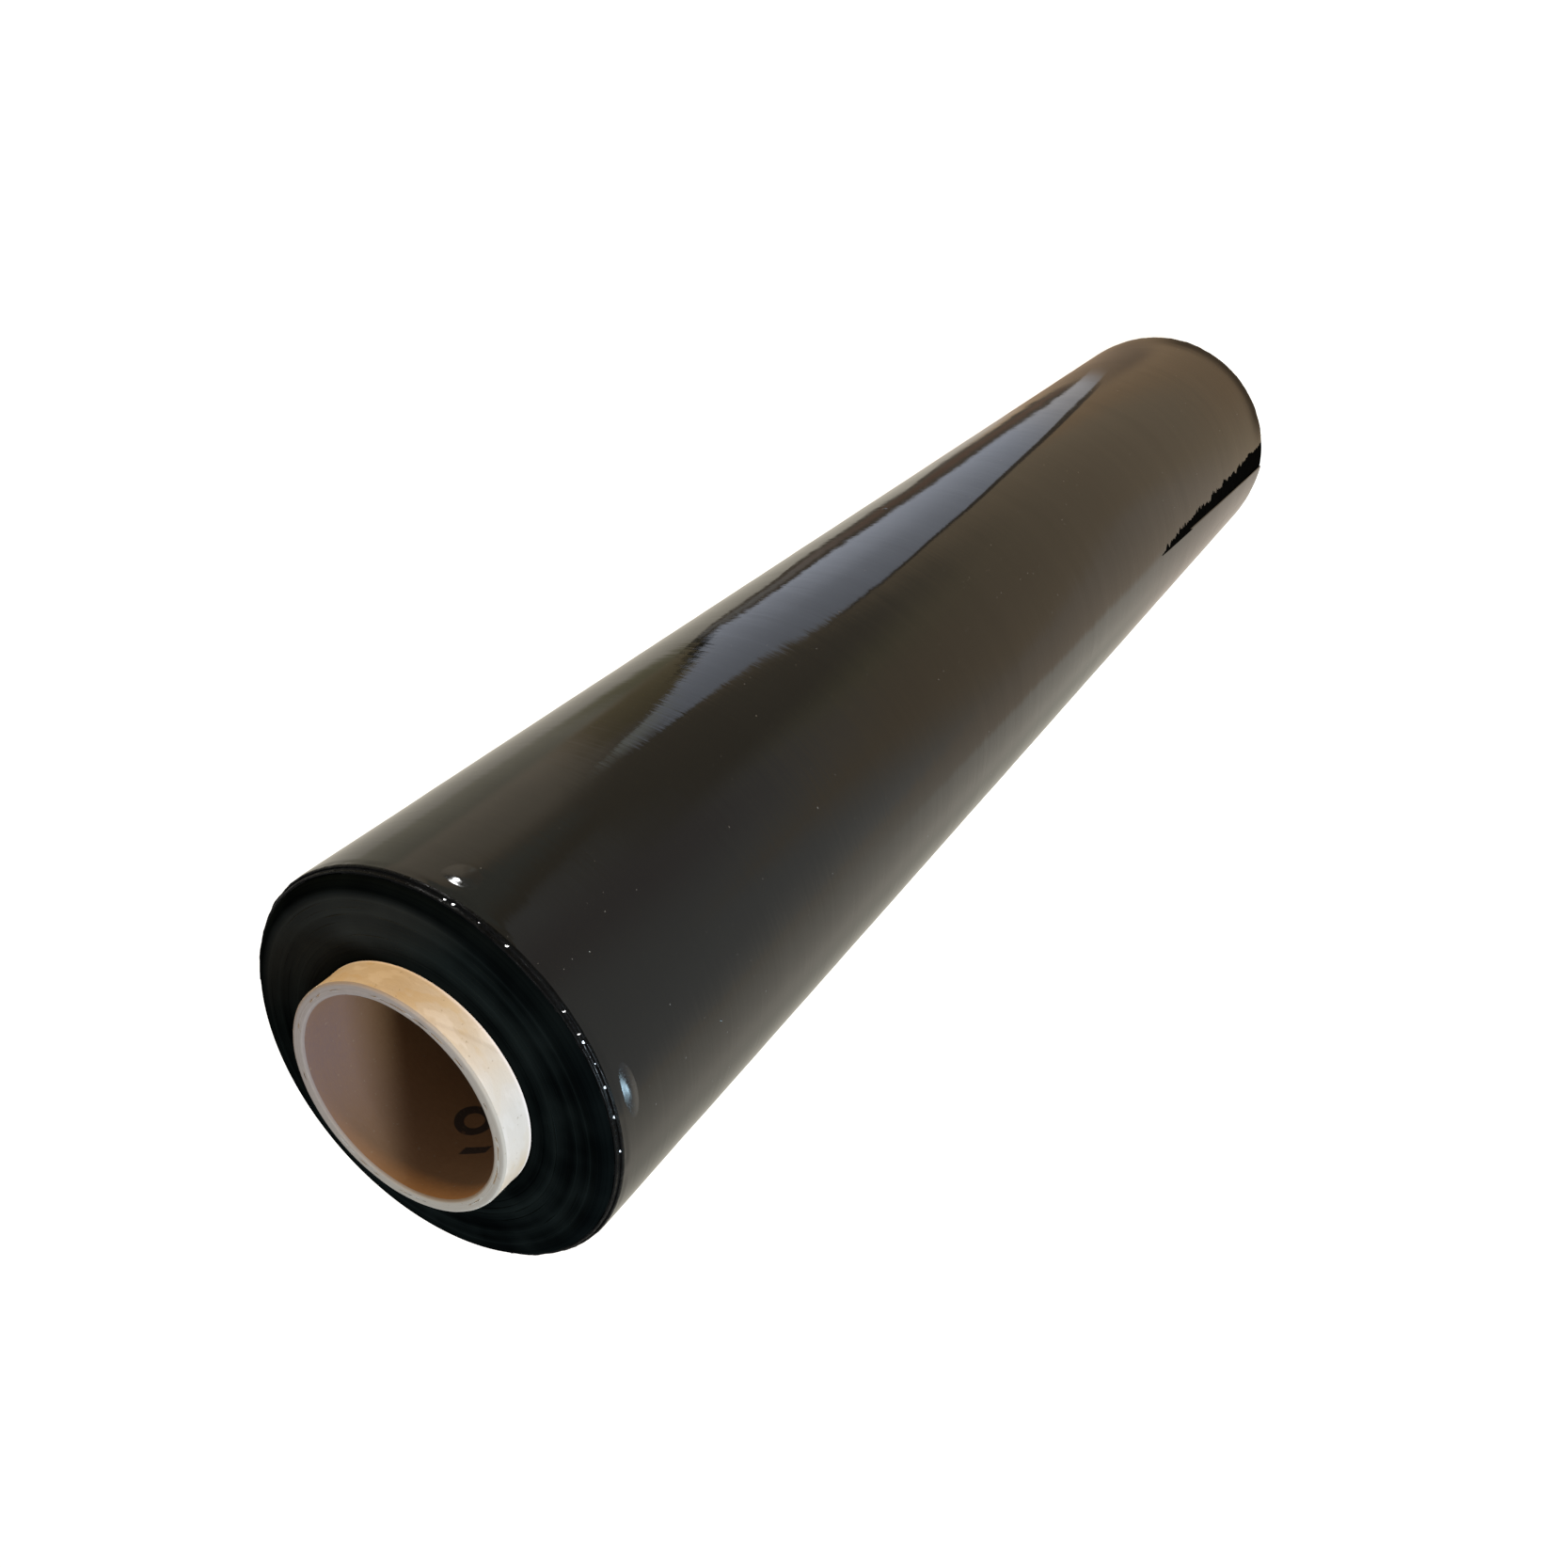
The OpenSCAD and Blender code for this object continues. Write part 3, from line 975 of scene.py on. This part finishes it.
def mat_shade(tree, x, y):
    """Pale behind the roll and to its left, brown before it, grey further out, and darker and
    greener beside the pale sheet."""
    r = (x * x + y * y).root()
    towards_back = (y + 10 * MM).turn_from(-(x + 60 * MM)).ramp(radians(24), radians(44))
    behind = layered(tree, (0.75, 0.695, 0.595),
                     (towards_back * x.below(0.0), (0.57, 0.54, 0.46)),
                     (x.ramp(0.0, 0.1), (0.67, 0.62, 0.52)),
                     (r.ramp(0.16, 0.07), (0.64, 0.56, 0.475)))

    further_out = y.ramp(-0.28, -0.48).most(x.ramp(-0.14, -0.34))
    far_ahead = x.bell(0.05, 0.22) * y.ramp(-0.34, -0.50)
    close_right = y.ramp(-0.085, -0.055) * x.ramp(-0.04, 0.0)
    close_left = x.ramp(-0.03, -0.07) * y.ramp(-0.15, -0.11)
    green_patch = x.bell(0.11, 0.09) * y.bell(-0.31, 0.10)
    beside = x.ramp(0.04, 0.17) * y.ramp(-0.13, -0.24) * y.ramp(-0.64, -0.38)
    beside = beside.most(x.ramp(0.32, 0.38) * y.ramp(0.14, 0.05)) * (x + 0.35 * y).ramp(0.54, 0.40)
    beside_ahead = x.ramp(0.39, 0.51) * y.ramp(-0.30, -0.38)
    far_right = x.ramp(0.41, 0.56) * y.ramp(-0.42, -0.18)
    past_sheet = x.ramp(0.29, 0.34) * y.ramp(0.04, 0.13)
    olive = mixed_colour(tree, x.ramp(0.39, 0.46), (0.34, 0.31, 0.195), (0.54, 0.50, 0.39))
    golden = x.ramp(0.33, 0.38) * y.ramp(-0.13, -0.06) * y.ramp(0.11, 0.06) * x.ramp(0.53, 0.45)
    before = layered(tree, (0.59, 0.455, 0.305),
                     (further_out, (0.52, 0.50, 0.47)),
                     (far_ahead, (0.41, 0.355, 0.335)),
                     (close_right, (0.61, 0.425, 0.260)),
                     (close_left, (0.60, 0.49, 0.375)),
                     (green_patch * 0.5, (0.40, 0.39, 0.23)),
                     (beside, (0.33, 0.275, 0.205)),
                     (beside_ahead, (0.375, 0.37, 0.315)),
                     (far_right, (0.73, 0.63, 0.49)),
                     (past_sheet, olive),
                     (golden * 0.9, (0.37, 0.30, 0.17)))

    to_right = x.ramp(0.015, 0.035)
    far_left = x.ramp(-0.20, -0.40)
    left_edge = (1.0 - far_left) * y.ramp(-0.026, -0.041) + far_left * y.ramp(0.0, -0.30)
    right_edge = (y - 0.25 * x).ramp(0.04, 0.0)
    right_edge = right_edge.most((y - x * 0.72).ramp(-0.02, -0.10) * x.ramp(0.315, 0.355))
    # Painted shadow: darker close round the roll's base, where the roll's shadow would lie on the
    # floor that the film mirrors.
    painted_shade_near_base = r.ramp(0.10, 0.064) * x.ramp(0.036, 0.052) * y.ramp(-0.048, -0.034)
    painted_shadow_round_base = r.ramp(0.0565, 0.0530) * (1.0 - 0.75 * x.ramp(0.030, 0.046))
    painted_shadow_round_base = painted_shadow_round_base * y.ramp(0.0, -0.02) * x.ramp(-0.040, -0.022)
    colour = layered(tree, behind,
                     ((1.0 - to_right) * left_edge + to_right * right_edge, before),
                     (painted_shade_near_base, (0.37, 0.265, 0.18)),
                     (painted_shadow_round_base, (0.20, 0.14, 0.09)))
    return colour, 1.0, 1.0


def border_shade(tree, x, y):
    streaks = noise_of(tree, combined(tree, x / 0.09, y / 0.016, 0.0), 3.0)
    colour = mixed_colour(tree, streaks, (0.11, 0.09, 0.07), (0.22, 0.18, 0.14))
    return colour, 1.0, x.ramp(0.066, 0.084)


def strip_shade(tree, x, y):
    streaks = noise_of(tree, combined(tree, x / 0.07, y / 0.03, 4.0), 2.0)
    far = mixed_colour(tree, streaks, (0.15, 0.10, 0.07), (0.29, 0.19, 0.14))
    near = mixed_colour(tree, streaks, (0.25, 0.23, 0.21), (0.44, 0.42, 0.39))
    return mixed_colour(tree, x.ramp(0.17, 0.30), far, near), 1.0, x.ramp(0.066, 0.084)


def pale_shade(tree, x, y):
    bright = 0.80 + 0.07 * x.ramp(0.09, 0.20) + 0.07 * x.ramp(0.26, 0.38)
    bright = bright + 0.17 * x.bell(0.245, 0.06) * y.ramp(-0.09, -0.02)
    colour = mixed_colour(tree, x.ramp(0.13, 0.08), (0.93, 0.99, 1.14), (1.02, 0.99, 1.0))
    colour = mixed_colour(tree, x.ramp(0.39, 0.44), colour, (0.95, 0.97, 0.88))
    cover = y.ramp(-0.235, -0.15).most(x.ramp(0.43, 0.39)) * x.ramp(0.064, 0.080)
    return colour, bright, cover


def scrap_shade(*_):
    return (0.03, 0.03, 0.025, 1.0), 1.0, 1.0


def border_strip():
    """The middle of the border along the pale sheet's far side."""
    pairs = list(zip(DARK_BORDER[1:13], PALE_SHEET[1:13]))

    def across(share):
        return [(a + (c - a) * share, b + (d - b) * share) for (a, b), (c, d) in pairs]

    return across(0.30) + across(0.70)[::-1]


def make_sheets():
    for name, outline, height, shade in (
            ("room_mat", ROOM_MAT, 1 * MM, mat_shade),
            ("dark_border", DARK_BORDER, 2 * MM, border_shade),
            ("border_strip", border_strip(), 2.5 * MM, strip_shade),
            ("pale_sheet", PALE_SHEET, 3 * MM, pale_shade)):
        make_sheet(name, outline, height, sheet_material(name, shade))
    dark = sheet_material("dark_scrap", scrap_shade)
    for i, outline in enumerate(DARK_SCRAPS):
        make_sheet(f"dark_scrap_{i + 1}", outline, 4 * MM, dark)


# World, camera and lamps

def make_world(soft, seen, mirrored):
    """A pale room: soft light on the object, and its own brightness where seen or mirrored."""
    world = bpy.data.worlds.new("pale_room")
    world.use_nodes = True
    tree = world.node_tree
    sky = tree.nodes["Background"]
    feed(tree, sky.inputs["Strength"], seen_by(tree, seen - soft, mirrored - soft) + soft)
    sky.inputs["Color"].default_value = (1.0, 1.0, 1.0, 1.0)
    bpy.context.scene.world = world


def make_camera():
    data = bpy.data.cameras.new("camera")
    data.sensor_width = SENSOR_W
    data.lens = CAMERA_LENS
    data.clip_start = 0.01
    data.clip_end = 100.0
    camera = bpy.data.objects.new("camera", data)
    bpy.context.scene.collection.objects.link(camera)
    ahead = Vector((cos(CAMERA_HEADING) * cos(CAMERA_DOWN), sin(CAMERA_HEADING) * cos(CAMERA_DOWN),
                    -sin(CAMERA_DOWN)))
    roll = Quaternion((0.0, 0.0, 1.0), CAMERA_ROLL)
    camera.rotation_mode = "QUATERNION"
    camera.rotation_quaternion = ahead.to_track_quat("-Z", "Y") @ roll
    camera.location = (0.0, -CAMERA_OUT, RIM_HIGH + CAMERA_UP)
    bpy.context.scene.camera = camera


ROLL_TOP = (0.0, 0.0, RIM_HIGH)
GLINT_FAN = radians(12)


def around(angle, height, distance):
    """A place at a distance from the roll's top, in degrees round it and above it."""
    turn, rise = radians(angle), radians(height)
    return (distance * cos(turn) * cos(rise), distance * sin(turn) * cos(rise),
            RIM_HIGH + distance * sin(rise))


def make_lamp(name, at, size, watts, colour):
    """A square lamp that faces the roll's top."""
    data = bpy.data.lights.new(name, "AREA")
    data.shape = "RECTANGLE"
    data.size = data.size_y = size
    data.energy = watts
    data.color = colour
    lamp = bpy.data.objects.new(name, data)
    bpy.context.scene.collection.objects.link(lamp)
    lamp.location = at
    lamp.rotation_mode = "QUATERNION"
    lamp.rotation_quaternion = (Vector(ROLL_TOP) - Vector(at)).to_track_quat("-Z", "Y")
    lamp.visible_camera = False
    return lamp


def make_glint(name, at, size, brightness, colour, fan=pi):
    """A panel that lights nothing and only glints in glossy film, within the fan it shines in."""
    share = (tan(fan / 2) - fan / 2) / tan(fan / 2)
    panel = make_lamp(name, at, size, brightness * share * pi * size * size, colour)
    panel.data.spread = fan
    panel.visible_diffuse = False


def make_lights():
    make_lamp("window_key", around(-142, 21, 1.3), size=0.36, watts=24.0, colour=(0.74, 0.87, 1.0))
    fill = make_lamp("warm_fill", around(-38, 3, 1.4), size=0.2, watts=14.0,
                     colour=(1.0, 0.70, 0.30))
    fill.visible_glossy = False
    make_glint("ceiling_glint", around(-90, 84, 1.2), size=0.36, brightness=12.0,
               colour=(1.0, 1.0, 1.0))
    make_glint("low_glint", around(-30.5, -17, 0.9), size=0.30, brightness=150.0,
               colour=(1.0, 1.0, 1.0), fan=GLINT_FAN)
    make_glint("blue_glint", around(-154, -14, 0.9), size=0.28, brightness=90.0,
               colour=(0.55, 0.82, 1.0), fan=GLINT_FAN)


def main():
    side = film_material("stretch_film_side")
    ends = film_edge_material("stretch_film_edges")
    rim = rim_material("stretch_film_rim")
    bubble = bubble_material("stretch_film_bubble")
    slack = slack_shade_material("stretch_film_slack_painted_shade")
    board = board_material("core_board")

    film_pieces = [
        make_film(side, ends, rim),
        make_turn_edges(ends),
        make_skin("loose_tail", tail_point, TAIL_COLUMNS, TAIL_ROWS, TAIL_T, side),
        make_skin("slack_film_painted_shade", slack_point, SLACK_COLUMNS, SLACK_ROWS, SLACK_T, slack),
        make_bubbles(bubble),
        make_rim_folds(bubble),
    ]
    core = make_core(board)
    for piece in film_pieces:
        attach(piece, "root")
        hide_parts("film_roll")
    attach(core, "root")
    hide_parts("core_tube")

    make_floor()
    make_sheets()
    make_world(soft=0.45, seen=1.0, mirrored=0.6)
    make_camera()
    make_lights()
    bpy.context.scene.view_settings.view_transform = "Standard"


main()
